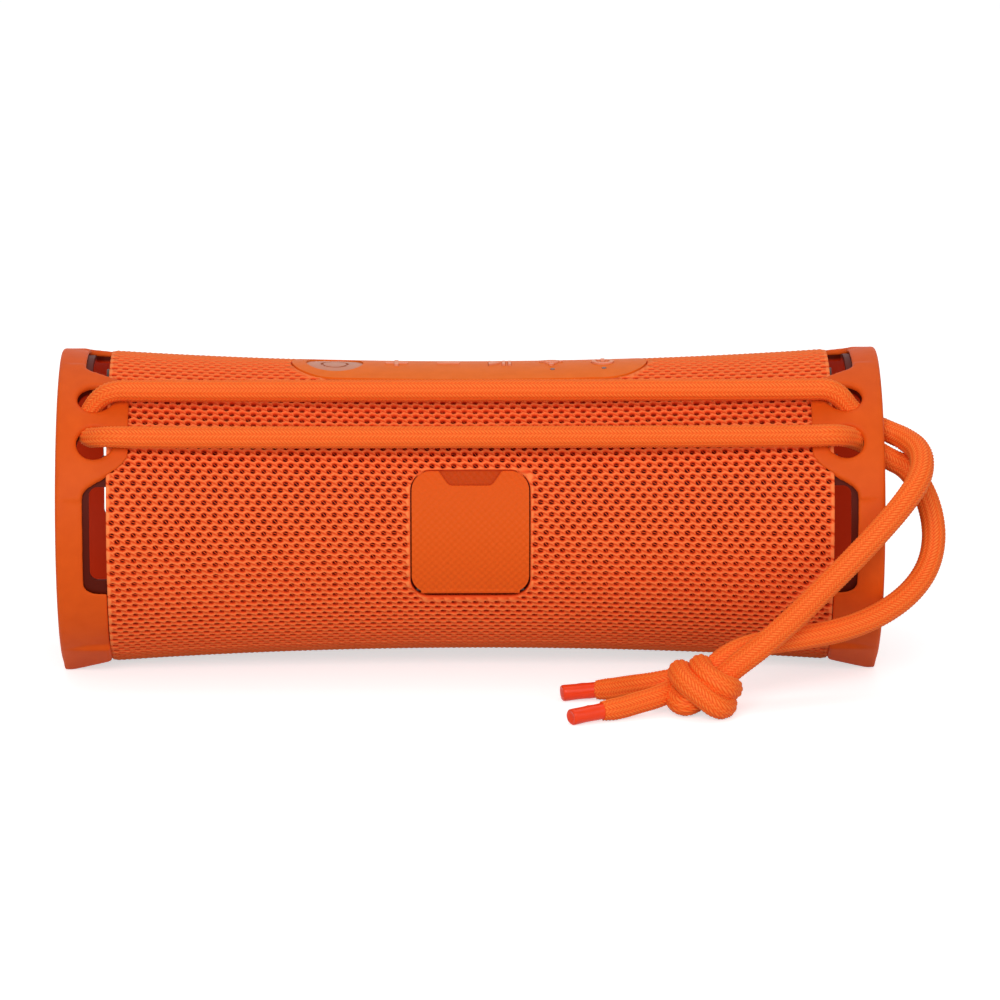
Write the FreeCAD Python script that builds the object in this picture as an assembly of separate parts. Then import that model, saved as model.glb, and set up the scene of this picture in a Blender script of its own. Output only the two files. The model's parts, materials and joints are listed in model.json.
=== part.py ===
import FreeCAD, Part
import math
import os

os.makedirs("parts", exist_ok=True)

# Portable speaker lying on its two end feet. Millimetres.
# +X runs along the body, -Y is the rear with the port cover, +Y the driver side, +Z is up.
# The origin is on the surface that it stands on, under the middle of the body.

# --- overall ---
RIM_X = 103.0             # half the length, to the rim of each end ring
AXIS_Z = 39.5             # height of the body's long axis
BODY_HALF = 90.3          # half the length of the fabric body
WAIST_RADIUS = 36.1       # fabric radius at the middle
END_RADIUS = 39.1         # fabric radius at its ends
FABRIC = 1.2              # thickness of the sleeve

# --- shells under the fabric, as depths below the fabric's surface ---
SHELL_OUTSIDE = 1.3
SHELL_INSIDE = 3.3
GRILLE_INSIDE = 2.9
SHELL_HALF = 88.5
PLATE_X0 = 86.0           # inner face of an end plate
PLATE_RADIUS = 35.3

# --- end rings ---
RING_RADIUS = 40.0        # at the rim and over the ears
RING_WINDOW_RADIUS = 39.2
RING_INNER_EDGE_RADIUS = 38.9
RING_BORE = 38.15
LIP_X = 101.6             # the rim's inward lip starts here
LIP_RADIUS = 36.6
EDGE_ROUND = 0.8
WINDOW_X = 96.1           # outer edge of a ring window
WINDOW_LOW = 14.4         # how far a side window reaches below the axis
WINDOW_CORNER = 2.8
EAR_X = 84.5              # inner end of an ear
EAR_BORE = 39.25          # an ear's underside, over the fabric
EAR_ANGLE = 45.0          # middle of the rear ear, measured up from the rear
FRAME_OUTSIDE = 38.1
FRAME_WINDOW_X = 94.6
FRAME_WINDOW_LOW = 11.0
FLANGE_RADIUS = 37.7
FLANGE_BORE = 29.2
CORD_HOLE_X = 93.5
CORD_HOLE_RADIUS = 4.15
CORD_ANGLES = (53.6, 35.3)
HOLE_ANGLES = (54.8, 35.5)
FOOT_FLAT_X = 100.0
FOOT_HALF_WIDTH = 14.0
FOOT_SIDE_Y = 24.0
FOOT_SIDE_Z = 7.5
FOOT_RISE_ANGLE = 18.0

# --- control strip on top ---
PANEL_LENGTH = 89.6
PANEL_WIDTH = 22.0
PANEL_PROUD = 0.3
PANEL_UNDER = 1.7
PANEL_GAP = 0.25
LEDGE_LENGTH = 84.0
LEDGE_WIDTH = 17.0
BASS_X = -34.0
BASS_RADIUS = 7.07
KEY_PLACES = {
    "volume_up_key": -18.4,
    "volume_down_key": -5.3,
    "play_key": 7.65,
    "pairing_key": 20.7,
    "power_key": 33.7,
}
KEY_CLEARANCE = 0.12
KEY_PROUD = 0.35
PLUNGER_RADIUS = 4.4
PLUNGER_Z = 31.65         # above the axis
PLUNGER_THICK = 1.25
STROKE = 0.5              # half the stroke width of a key symbol
SYMBOL = 2.8              # half the size of a key symbol
KEY_BOARD_Z = 28.6        # above the axis
KEY_BOARD_THICK = 1.2
SWITCH_HEIGHT = 1.4
LIGHT_RADIUS = 0.6
LIGHT_PLACES = ((20.9, -5.6), (33.9, -5.6))

# --- port cover and bay on the rear ---
COVER_HALF_WIDTH = 14.6
COVER_TOP = 15.7          # above the axis
COVER_BOTTOM = -15.2
COVER_CORNER = 4.6
COVER_THICK = 1.5
COVER_GAP = 0.3
COVER_SWING_ROOM = 1.1    # gap below the cover, which its lower edge turns through
HINGE_Y = -32.08
HINGE_Z = AXIS_Z - 14.5
BARREL_RADIUS = 1.05
BARREL_HALF = 12.3
BARREL_ROOM = 1.5
PIN_RADIUS = 0.4
PIN_BORE = 0.45
PIN_HALF = 13.4
BAY_HALF = 13.6
BAY_WALL = 1.0
BAY_BACK_Y = -24.0
RIM_BACK_Y = -32.0        # back edge of the cover's plug rim
SOCKET_FRONT_Y = -28.4
NOTCH_HALF_TOP = 7.9
NOTCH_HALF_LOW = 5.35
NOTCH_TALL = 3.4
NOTCH_DEEP = 1.1
NOTCH_CORNER = 1.9

# --- drivers ---
BAFFLE_Y0 = 22.0
BAFFLE_Y1 = 24.5
BAFFLE_HALF_TALL = 21.3
BAFFLE_HALF_LONG = 80.0
WOOFER_X = -14.0
TWEETER_X = 52.0
RADIATOR_RADIUS = 29.0
DIAPHRAGM_RADIUS = 18.3
DIAPHRAGM_X = 89.0

# --- battery and boards ---
CELL_RADIUS = 9.1
CELL_LENGTH = 65.0
CELL_Y = -6.0
CELL_Z = AXIS_Z - 20.0
BOARD_Y0 = -17.6
BOARD_Y1 = -16.0

# --- carry cord ---
SPAN_CORD_RADIUS = 2.55    # stretched between the rings
LOOP_CORD_RADIUS = 2.9    # slack, so a little thicker
TAIL_CORD_RADIUS = 2.65
CORD_RUN_RADIUS = 43.1    # how far the straight runs lie from the axis
TIP_RADIUS = 2.0
KNOT_MIN = (47.6, -69.0, 0.0)
KNOT_SIZE = (19.0, 18.6, 13.5)
KNOT_ROUND = 4.8


def vec(x, y, z):
    return FreeCAD.Vector(x, y, z)


def save(name, shape):
    """Write one sub-part and say what it holds."""
    shape = shape.removeSplitter() if len(shape.Solids) == 1 else shape
    solids = len(shape.Solids)
    print(f"{name}: {solids} solid(s), {shape.Volume:.1f} mm3, valid {shape.isValid()}")
    shape.exportStep(f"parts/{name}.step")


def mirrored(shape):
    """The same shape at the other end of the body."""
    return shape.mirror(vec(0, 0, 0), vec(1, 0, 0))


def save_pair(name, shape):
    save(f"right_{name}", shape)
    save(f"left_{name}", mirrored(shape))


def box(x0, x1, y0, y1, z0, z1):
    """A block; its heights are counted from the body's axis."""
    return Part.makeBox(x1 - x0, y1 - y0, z1 - z0, vec(x0, y0, AXIS_Z + z0))


def x_cylinder(radius, x0, x1, y=0.0, z=AXIS_Z):
    return Part.makeCylinder(radius, x1 - x0, vec(x0, y, z), vec(1, 0, 0))


def y_cylinder(radius, y0, y1, x, z):
    """A cylinder along Y; z is counted from the body's axis."""
    return Part.makeCylinder(radius, y1 - y0, vec(x, y0, AXIS_Z + z), vec(0, 1, 0))


def z_cylinder(radius, z0, z1, x, y):
    """A cylinder along Z; its heights are counted from the body's axis."""
    return Part.makeCylinder(radius, z1 - z0, vec(x, y, AXIS_Z + z0), vec(0, 0, 1))


def fillet_along(shape, axis, radius):
    """Round the edges that run along one axis."""
    chosen = []
    for edge in shape.Edges:
        ends = edge.Vertexes
        if len(ends) == 2:
            run = ends[1].Point.sub(ends[0].Point)
            if run.Length > 0 and abs(run.normalize().dot(axis)) > 0.999:
                chosen.append(edge)
    return shape.makeFillet(radius, chosen)


def revolved(points):
    """Turn a closed outline of (x, radius) points about the body's axis.

    A point with a third value, (x, radius, "arc"), is the middle of a round stretch.
    """
    places = [vec(p[0], 0, AXIS_Z + p[1]) for p in points]
    edges = []
    i = 0
    count = len(points)
    while i < count:
        after = (i + 1) % count
        if len(points[after]) == 3:
            end = (i + 2) % count
            edges.append(Part.Arc(places[i], places[after], places[end]).toShape())
            i += 2
        else:
            edges.append(Part.makeLine(places[i], places[after]))
            i += 1
    face = Part.Face(Part.Wire(edges))
    return face.revolve(vec(0, 0, AXIS_Z), vec(1, 0, 0), 360)


def body_radius(x):
    """The fabric's radius at a place along the body."""
    return WAIST_RADIUS + (END_RADIUS - WAIST_RADIUS) * (x / BODY_HALF) ** 2


def waisted(half, depth):
    """The solid inside the body's waisted surface, less a depth."""
    end = body_radius(half) - depth
    middle = WAIST_RADIUS - depth
    return revolved([(-half, 0), (-half, end), (0, middle, "arc"), (half, end), (half, 0)])


def waisted_shell(half, outside, inside):
    return waisted(half, outside).cut(waisted(half + 1, inside))


def local_point(x, angle, radius, side):
    """A point at a radius in the direction of an angle, moved sideways along the tangent."""
    a = math.radians(angle)
    y = -radius * math.cos(a) + side * math.sin(a)
    z = AXIS_Z + radius * math.sin(a) + side * math.cos(a)
    return vec(x, y, z)


def radial_direction(angle):
    a = math.radians(angle)
    return vec(0, -math.cos(a), math.sin(a))


def stadium(length, width, z0, z1):
    """An upright block with round ends, along X; heights from the axis."""
    end = width / 2
    reach = length / 2 - end
    shape = box(-reach, reach, -end, end, z0, z1)
    shape = shape.fuse(z_cylinder(end, z0, z1, -reach, 0))
    return shape.fuse(z_cylinder(end, z0, z1, reach, 0)).removeSplitter()


def racetrack(length, height, y0, y1, x):
    """A plate with round ends, in a plane across Y."""
    end = height / 2
    reach = length / 2 - end
    shape = box(x - reach, x + reach, y0, y1, -end, end)
    shape = shape.fuse(y_cylinder(end, y0, y1, x - reach, 0))
    return shape.fuse(y_cylinder(end, y0, y1, x + reach, 0)).removeSplitter()


# ---------------------------------------------------------------- end rings

def ear_outline(angle):
    """A block standing on the ear's outline: a straight inner end, S-curves to the window edges."""
    curve = [(EAR_X, 8.4), (85.4, 11.2), (88.6, 13.9), (93.4, 16.4), (95.8, 18.2), (WINDOW_X + 0.3, 20.4)]
    foot = 30.0
    edges = []
    ends = []
    for sign in (-1, 1):
        spline = Part.BSplineCurve()
        spline.interpolate([local_point(x, angle, foot, sign * side) for x, side in curve])
        edges.append(spline.toShape())
        ends.append(local_point(RIM_X + 1, angle, foot, sign * curve[-1][1]))
    edges.append(Part.makeLine(edges[0].Vertexes[0].Point, edges[1].Vertexes[0].Point))
    edges.append(Part.makeLine(edges[0].Vertexes[1].Point, ends[0]))
    edges.append(Part.makeLine(edges[1].Vertexes[1].Point, ends[1]))
    edges.append(Part.makeLine(ends[0], ends[1]))
    face = Part.Face(Part.Wire(Part.__sortEdges__(edges)))
    return face.extrude(radial_direction(angle) * 14)


def ear(angle):
    """One raised ear, whose inner end lies over the fabric."""
    shape = revolved([
        (EAR_X, EAR_BORE), (EAR_X, RING_RADIUS - 0.35), (EAR_X + 0.35, RING_RADIUS),
        (RIM_X - EDGE_ROUND, RING_RADIUS), (RIM_X - EDGE_ROUND, RING_BORE),
        (BODY_HALF, RING_BORE), (BODY_HALF, EAR_BORE),
    ])
    return shape.common(ear_outline(angle))


def ring_windows(x1, low, high, corner):
    """Three window blocks: rear, front and top. They are open towards the body."""
    side = box(BODY_HALF - 6, x1, -50, -20, -low, high)
    side = fillet_along(side, vec(0, 1, 0), corner)
    front = side.mirror(vec(0, 0, 0), vec(0, 1, 0))
    top = box(BODY_HALF - 6, x1, -high, high, 20, 50)
    top = fillet_along(top, vec(0, 0, 1), corner)
    return side.fuse(front).fuse(top)


def cord_holes(radius, flare):
    """The two cord holes of a rear ear, with a flared mouth on the outside."""
    shapes = []
    for angle in HOLE_ANGLES:
        start = local_point(CORD_HOLE_X, angle, 33, 0)
        outward = radial_direction(angle)
        shapes.append(Part.makeCylinder(radius, 12, start, outward))
        if flare:
            mouth = local_point(CORD_HOLE_X, angle, RING_RADIUS - flare, 0)
            shapes.append(Part.makeCone(radius, radius + 2 * flare, 2 * flare, mouth, outward))
    return shapes[0].multiFuse(shapes[1:])


def foot():
    """The wedge under a ring: flat near the rim and rising towards the body."""
    corners = [
        vec(BODY_HALF, -FOOT_SIDE_Y, FOOT_SIDE_Z), vec(BODY_HALF, -FOOT_HALF_WIDTH, 0),
        vec(BODY_HALF, FOOT_HALF_WIDTH, 0), vec(BODY_HALF, FOOT_SIDE_Y, FOOT_SIDE_Z),
        vec(BODY_HALF, FOOT_SIDE_Y, 16), vec(BODY_HALF, -FOOT_SIDE_Y, 16),
    ]
    face = Part.Face(Part.makePolygon(corners + corners[:1]))
    shape = face.extrude(vec(RIM_X - 0.4 - BODY_HALF, 0, 0))
    shape = shape.cut(x_cylinder(RING_BORE, BODY_HALF - 1, LIP_X))
    shape = shape.cut(x_cylinder(LIP_RADIUS, LIP_X - 1, RIM_X + 1))
    return shape.cut(below_foot())


def below_foot():
    """The space under the foot's underside, which rises towards the body."""
    rise = (FOOT_FLAT_X - 80) * math.tan(math.radians(FOOT_RISE_ANGLE))
    corners = [
        vec(FOOT_FLAT_X, -50, 0), vec(80, -50, rise), vec(80, -50, -9),
        vec(110, -50, -9), vec(110, -50, 0),
    ]
    return Part.Face(Part.makePolygon(corners + corners[:1])).extrude(vec(0, 100, 0))


def make_bumper():
    """The rubber ring: rim with an inward lip, three windows, four ears and a foot."""
    knee = EDGE_ROUND * (1 - math.sqrt(0.5))
    inner = 0.6
    inner_knee = inner * (1 - math.sqrt(0.5))
    shape = revolved([
        (BODY_HALF, RING_BORE), (BODY_HALF, RING_INNER_EDGE_RADIUS),
        (WINDOW_X, RING_WINDOW_RADIUS), (RIM_X - EDGE_ROUND, RING_RADIUS),
        (RIM_X - knee, RING_RADIUS - knee, "arc"), (RIM_X, RING_RADIUS - EDGE_ROUND),
        (RIM_X, LIP_RADIUS + inner), (RIM_X - inner_knee, LIP_RADIUS + inner_knee, "arc"),
        (RIM_X - inner, LIP_RADIUS), (LIP_X, LIP_RADIUS), (LIP_X, RING_BORE),
    ])
    shape = shape.cut(ring_windows(WINDOW_X, WINDOW_LOW, 19.0, WINDOW_CORNER))
    for angle in (EAR_ANGLE, 180 - EAR_ANGLE):
        shape = shape.fuse(ear(angle))
    shape = shape.fuse(foot()).cut(box(80, 110, -50, 50, -AXIS_Z - 5, -AXIS_Z))
    return shape.cut(cord_holes(CORD_HOLE_RADIUS, 0.9))


def make_bumper_frame():
    """The stiff frame that carries the rubber ring, with its screw flange on the end plate."""
    tube = x_cylinder(FRAME_OUTSIDE, BODY_HALF, LIP_X).cut(x_cylinder(LIP_RADIUS, BODY_HALF - 1, LIP_X + 1))
    tube = tube.cut(ring_windows(FRAME_WINDOW_X, FRAME_WINDOW_LOW, 12.6, 2.2))
    flange = x_cylinder(FLANGE_RADIUS, SHELL_HALF, BODY_HALF).cut(x_cylinder(FLANGE_BORE, 80, 95))
    shape = tube.fuse(flange)
    shape = shape.cut(cord_holes(CORD_HOLE_RADIUS + 0.15, 0))
    for x, y, z in end_screw_places():
        shape = shape.cut(x_cylinder(1.6, 80, 95, y, z))
    return shape


# ---------------------------------------------------------------- housing and skin

def end_screw_places():
    """Six screws per end, evenly round the flange."""
    places = []
    for step in range(6):
        a = math.radians(30 + 60 * step)
        places.append((BODY_HALF, 32.6 * math.cos(a), AXIS_Z + 32.6 * math.sin(a)))
    return places


def cover_block(grow, bottom):
    """A block on the cover's rounded outline, through the rear wall."""
    shape = box(-COVER_HALF_WIDTH - grow, COVER_HALF_WIDTH + grow, -45, -15, bottom, COVER_TOP + grow)
    return fillet_along(shape, vec(0, 1, 0), COVER_CORNER + grow)


def hinge_room():
    return x_cylinder(BARREL_ROOM, -PIN_HALF - 0.4, PIN_HALF + 0.4, HINGE_Y, HINGE_Z)


def make_sleeve():
    """The knitted sleeve, with a cut-out for the control strip and one for the port cover."""
    shape = waisted_shell(BODY_HALF, 0, FABRIC)
    shape = shape.cut(stadium(PANEL_LENGTH + 2 * PANEL_GAP, PANEL_WIDTH + 2 * PANEL_GAP, 20, 45))
    shape = shape.cut(cover_block(COVER_GAP, COVER_BOTTOM - COVER_SWING_ROOM))
    return shape.cut(hinge_room())


def make_rear_housing():
    """The rear half of the hard housing, with a ledge for the strip and a hole for the port bay."""
    shape = waisted_shell(SHELL_HALF, SHELL_OUTSIDE, SHELL_INSIDE)
    shape = shape.common(box(-100, 100, -60, 0, -60, 60))
    shape = cut_panel_seat(shape)
    bay = box(-BAY_HALF - 0.1, BAY_HALF + 0.1, -45, -15, -BAY_HALF - 1.4, BAY_HALF + 0.1)
    shape = shape.cut(bay)
    seat = cover_block(COVER_GAP, COVER_BOTTOM - COVER_SWING_ROOM).cut(waisted(SHELL_HALF, COVER_THICK + 0.1))
    return shape.cut(seat).cut(hinge_room())


def cut_panel_seat(shape):
    """Sink the strip's seat into the top of a housing half, and open the hole within it."""
    seat = stadium(PANEL_LENGTH + 0.3, PANEL_WIDTH + 0.3, 20, 45)
    seat = seat.cut(waisted(SHELL_HALF, PANEL_UNDER + 0.05))
    return shape.cut(seat).cut(stadium(LEDGE_LENGTH, LEDGE_WIDTH, 20, 45))


def make_front_grille():
    """The front half of the housing: rows of slots in front of the drivers."""
    shape = waisted_shell(SHELL_HALF, SHELL_OUTSIDE, GRILLE_INSIDE)
    shape = shape.common(box(-100, 100, 0.05, 60, -60, 60))
    shape = cut_panel_seat(shape)
    slots = []
    for row in range(-3, 4):
        for column in range(-6, 7):
            x = column * 12.0 + (6.0 if row % 2 else 0.0)
            if abs(x) < 76:
                slots.append(box(x - 4.6, x + 4.6, 24, 45, row * 5.4 - 1.3, row * 5.4 + 1.3))
    return shape.cut(Part.makeCompound(slots))


def make_end_plate():
    """The plate that closes one end and carries the radiator."""
    shape = x_cylinder(PLATE_RADIUS, PLATE_X0, SHELL_HALF)
    shape = shape.cut(x_cylinder(25.6, 80, 95))
    for x, y, z in end_screw_places():
        shape = shape.cut(x_cylinder(1.05, 80, 95, y, z))
    return shape


def make_end_screws():
    """Pan-head screws through both flanges into the end plates."""
    screws = []
    for x, y, z in end_screw_places():
        head = x_cylinder(2.6, BODY_HALF, BODY_HALF + 1.2, y, z)
        recess = x_cylinder(0.9, BODY_HALF + 0.5, BODY_HALF + 2, y, z)
        shank = x_cylinder(1.0, PLATE_X0 + 0.3, BODY_HALF, y, z)
        screw = head.cut(recess).fuse(shank)
        screws.append(screw)
        screws.append(mirrored(screw))
    return Part.makeCompound(screws)


def seam_screw_places():
    """Six screws across the seam: four along the top and two near the ends below."""
    places = []
    for x, side in ((-78, 1), (-54, 1), (54, 1), (78, 1), (-78, -1), (78, -1)):
        places.append((x, side, side * (body_radius(x) - 6.9)))
    return places


def make_housing_screws():
    screws = []
    for x, side, z in seam_screw_places():
        head = y_cylinder(2.2, -9.6, -8.2, x, z)
        shank = y_cylinder(0.95, -8.2, 7.0, x, z)
        screws.append(head.fuse(shank))
    return Part.makeCompound(screws)


def make_screw_bosses(y0, y1):
    """Bosses that the seam screws go through."""
    shapes = []
    for x, side, z in seam_screw_places():
        boss = y_cylinder(2.9, y0, y1, x, z)
        edge = side * (body_radius(x) - 3.2)
        web = box(x - 1.4, x + 1.4, y0, y1, min(z, edge), max(z, edge))
        web = web.common(waisted(SHELL_HALF, SHELL_OUTSIDE + 0.3))
        shapes.append(boss.fuse(web).cut(y_cylinder(1.0, -20, 20, x, z)))
    return shapes


# ---------------------------------------------------------------- passive radiators

def make_radiator_frame():
    shape = x_cylinder(RADIATOR_RADIUS, SHELL_HALF, BODY_HALF - 0.2)
    shape = shape.fuse(x_cylinder(25.4, PLATE_X0, SHELL_HALF))
    return shape.cut(x_cylinder(23.6, 80, 95))


def make_radiator_surround():
    """A half-roll of rubber between the frame and the diaphragm."""
    middle = 21.2
    outer = 23.5
    inner = 18.9
    roll = 1.9
    wall = 0.6
    return revolved([
        (88.2, outer), (88.2 + roll, middle, "arc"), (88.2, inner),
        (88.2 - wall, inner), (88.2 - wall + roll, middle, "arc"), (88.2 - wall, outer),
    ])


def make_diaphragm():
    """A shallow dished plate with a tall skirt, so that its travel leaves no gap."""
    face_x = DIAPHRAGM_X
    return revolved([
        (face_x - 0.9, 0), (face_x - 0.4, 10, "arc"), (face_x, 16.4),
        (face_x, DIAPHRAGM_RADIUS - 0.5), (face_x - 0.5, DIAPHRAGM_RADIUS),
        (84.6, DIAPHRAGM_RADIUS), (84.6, DIAPHRAGM_RADIUS - 1.4), (face_x - 1.9, DIAPHRAGM_RADIUS - 1.4),
        (face_x - 2.3, 0),
    ])


# ---------------------------------------------------------------- control strip

def bar(x, y, half_x, half_y, z0, z1, grow):
    return box(x - half_x - grow, x + half_x + grow, y - half_y - grow, y + half_y + grow, z0, z1)


def arc_band(x, y, radius, first, last, z0, z1, grow):
    """Part of a ring, as wide as a symbol's stroke, between two angles."""
    height = z1 - z0
    base = vec(x, y, AXIS_Z + z0)
    extra = math.degrees(grow / radius)
    sweep = last - first + 2 * extra
    outer = Part.makeCylinder(radius + STROKE + grow, height, base, vec(0, 0, 1), sweep)
    inner = Part.makeCylinder(radius - STROKE - grow, height, base, vec(0, 0, 1))
    shape = outer.cut(inner)
    shape.rotate(base, vec(0, 0, 1), first - extra)
    return shape


def key_symbol(name, x, z0, z1, grow):
    """The raised symbol of one key, standing between two heights."""
    if name == "volume_up_key":
        return bar(x, 0, SYMBOL, STROKE, z0, z1, grow).fuse(bar(x, 0, STROKE, SYMBOL, z0, z1, grow))
    if name == "volume_down_key":
        return bar(x, 0, SYMBOL, STROKE, z0, z1, grow)
    if name == "play_key":
        left = x - SYMBOL - grow
        tip = x + 0.1 + 2 * grow
        half = 2.3 + 1.8 * grow
        base = AXIS_Z + z0
        corners = [vec(left, -half, base), vec(tip, 0, base), vec(left, half, base)]
        face = Part.Face(Part.makePolygon(corners + corners[:1]))
        shapes = [face.extrude(vec(0, 0, z1 - z0))]
        for place in (1.0, 2.5):
            shapes.append(bar(x + place, 0, 0.35, 2.3, z0, z1, grow))
        return Part.makeCompound(shapes)
    if name == "pairing_key":
        shapes = [z_cylinder(0.7 + grow, z0, z1, x, -2.1)]
        for radius in (2.2, 4.2):
            shapes.append(arc_band(x, -2.1, radius, 50, 130, z0, z1, grow))
        return Part.makeCompound(shapes)
    shapes = [bar(x, 1.7, STROKE, 1.3, z0, z1, grow)]
    shapes.append(arc_band(x, -0.2, 2.3, 125, 415, z0, z1, grow))
    return Part.makeCompound(shapes)


def make_key(name, x):
    """A key: a plunger disc over its switch and a symbol that stands through the strip."""
    top = body_radius(x) + PANEL_PROUD + KEY_PROUD
    disc_top = PLUNGER_Z + PLUNGER_THICK
    shape = z_cylinder(PLUNGER_RADIUS, PLUNGER_Z, disc_top, x, 0)
    symbol = key_symbol(name, x, disc_top - 0.3, top, 0)
    return shape.multiFuse(symbol.Solids)


def make_bass_key():
    """The round key: its face follows the strip's curve, slightly sunk."""
    shape = z_cylinder(BASS_RADIUS, PLUNGER_Z, 40, BASS_X, 0)
    shape = shape.common(waisted(60, 0.1))
    ring = z_cylinder(3.6, 35.4, 40, BASS_X, 0).cut(z_cylinder(2.9, 30, 41, BASS_X, 0))
    groove = ring.cut(waisted(60, 0.45))
    return shape.cut(groove)


def make_panel():
    """The rubber strip, cut through for every key symbol, the round key and the lights."""
    shape = stadium(PANEL_LENGTH, PANEL_WIDTH, 20, 45)
    shape = shape.common(waisted_shell(60, -PANEL_PROUD, PANEL_UNDER))
    shape = shape.cut(z_cylinder(BASS_RADIUS + 0.15, 20, 45, BASS_X, 0))
    for name, x in KEY_PLACES.items():
        shape = shape.cut(key_symbol(name, x, 20, 45, KEY_CLEARANCE))
    for x, y in LIGHT_PLACES:
        shape = shape.cut(z_cylinder(LIGHT_RADIUS + 0.05, 20, 45, x, y))
    return shape


def key_xs():
    return [BASS_X] + list(KEY_PLACES.values())


def make_key_board():
    shape = box(-41, 41, -7.8, 7.8, KEY_BOARD_Z, KEY_BOARD_Z + KEY_BOARD_THICK)
    for x in (-26.4, 0.9, 38.9):
        shape = shape.cut(z_cylinder(1.1, 20, 40, x, 5.6))
    return shape


def make_key_switches():
    """Six tact switches, each with its own dome."""
    shapes = []
    bottom = KEY_BOARD_Z + KEY_BOARD_THICK
    for x in key_xs():
        case = bar(x, 0, 2.1, 2.1, bottom, bottom + SWITCH_HEIGHT - 0.4, 0)
        dome = z_cylinder(1.1, bottom + SWITCH_HEIGHT - 0.4, bottom + SWITCH_HEIGHT, x, 0)
        shapes.append(case.fuse(dome))
    return Part.makeCompound(shapes)


def make_status_lights():
    shapes = []
    bottom = KEY_BOARD_Z + KEY_BOARD_THICK
    for x, y in LIGHT_PLACES:
        pipe = z_cylinder(LIGHT_RADIUS, bottom, 45, x, y).common(waisted(60, -PANEL_PROUD - 0.05))
        shapes.append(pipe.fuse(bar(x, y, 0.9, 0.9, bottom, bottom + 0.8, 0)))
    return Part.makeCompound(shapes)


# ---------------------------------------------------------------- port cover and bay

def make_port_cover():
    """A curved rubber flap with a plug rim behind it and a hinge barrel along its bottom."""
    shell = waisted_shell(60, 0, COVER_THICK)
    shape = cover_block(0, COVER_BOTTOM).common(shell)
    half = COVER_HALF_WIDTH - 2.6
    rim = box(-half, half, -34.9, RIM_BACK_Y, -9.6, 12.2)
    rim = rim.cut(box(-half + 1.2, half - 1.2, -36, -30, -8.4, 11.0))
    rim = rim.common(waisted(60, COVER_THICK - 0.3))
    barrel = x_cylinder(BARREL_RADIUS, -BARREL_HALF, BARREL_HALF, HINGE_Y, HINGE_Z)
    shape = shape.fuse(rim).fuse(barrel)
    low = COVER_TOP - NOTCH_TALL
    z_low = AXIS_Z + low
    z_high = AXIS_Z + COVER_TOP + 3
    half_high = NOTCH_HALF_LOW + (NOTCH_HALF_TOP - NOTCH_HALF_LOW) * (z_high - z_low) / NOTCH_TALL
    corners = [
        vec(-half_high, -45, z_high), vec(-NOTCH_HALF_LOW, -45, z_low),
        vec(NOTCH_HALF_LOW, -45, z_low), vec(half_high, -45, z_high),
    ]
    notch = Part.Face(Part.makePolygon(corners + corners[:1])).extrude(vec(0, 25, 0))
    notch = fillet_along(notch, vec(0, 1, 0), NOTCH_CORNER)
    notch = notch.cut(waisted(60, NOTCH_DEEP))
    shape = shape.cut(notch)
    return shape.cut(x_cylinder(PIN_BORE, -20, 20, HINGE_Y, HINGE_Z))


def make_hinge_pin():
    return x_cylinder(PIN_RADIUS, -PIN_HALF, PIN_HALF, HINGE_Y, HINGE_Z)


def make_port_bay():
    """The moulded pocket behind the cover; its side walls hold the pin."""
    low = -BAY_HALF - 1.3
    shape = box(-BAY_HALF, BAY_HALF, -40, BAY_BACK_Y + BAY_WALL, low, BAY_HALF)
    inner = BAY_HALF - BAY_WALL
    shape = shape.cut(box(-inner, inner, -41, BAY_BACK_Y, low + BAY_WALL, inner))
    shape = shape.common(waisted(60, COVER_THICK + 0.15))
    room = x_cylinder(BARREL_ROOM, -BARREL_HALF - 0.2, BARREL_HALF + 0.2, HINGE_Y, HINGE_Z)
    shape = shape.cut(room)
    shape = shape.cut(x_cylinder(PIN_BORE, -20, 20, HINGE_Y, HINGE_Z))
    return shape.cut(box(-4.6, 4.6, -30, -20, -1.75, 1.75))


def make_usb_socket():
    """The charging socket's metal shell, standing on the main board."""
    shell = box(-4.5, 4.5, SOCKET_FRONT_Y, BOARD_Y0, -1.65, 1.65)
    shell = fillet_along(shell, vec(0, 1, 0), 1.5)
    hollow = box(-4.15, 4.15, -30, -20.5, -1.3, 1.3)
    hollow = fillet_along(hollow, vec(0, 1, 0), 1.2)
    return shell.cut(hollow)


def make_usb_tongue():
    return box(-3.4, 3.4, SOCKET_FRONT_Y + 0.7, -20.5, -0.35, 0.35)


# ---------------------------------------------------------------- drivers

def make_baffle():
    long, tall = BAFFLE_HALF_LONG, BAFFLE_HALF_TALL
    shape = box(-long, long, BAFFLE_Y0, BAFFLE_Y1, -tall, tall)
    shape = fillet_along(shape, vec(0, 1, 0), 5)
    shape = shape.cut(racetrack(74.6, 33.6, 15, 30, WOOFER_X))
    shape = shape.cut(y_cylinder(10.3, 15, 30, TWEETER_X, 0))
    for x, z in woofer_screw_places():
        shape = shape.cut(y_cylinder(0.85, 15, 30, x, z))
    return shape


def make_baffle_gasket():
    """A foam strip round the baffle's front edge."""
    outer = box(-78, 78, BAFFLE_Y1, BAFFLE_Y1 + 1, -20.2, 20.2)
    outer = fillet_along(outer, vec(0, 1, 0), 5)
    inner = box(-75.6, 75.6, 20, 30, -17.8, 17.8)
    inner = fillet_along(inner, vec(0, 1, 0), 3)
    return outer.cut(inner)


def woofer_screw_places():
    places = []
    for x in (WOOFER_X - 32.5, WOOFER_X + 32.5):
        for z in (-16.6, 16.6):
            places.append((x, z))
    return places


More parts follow.
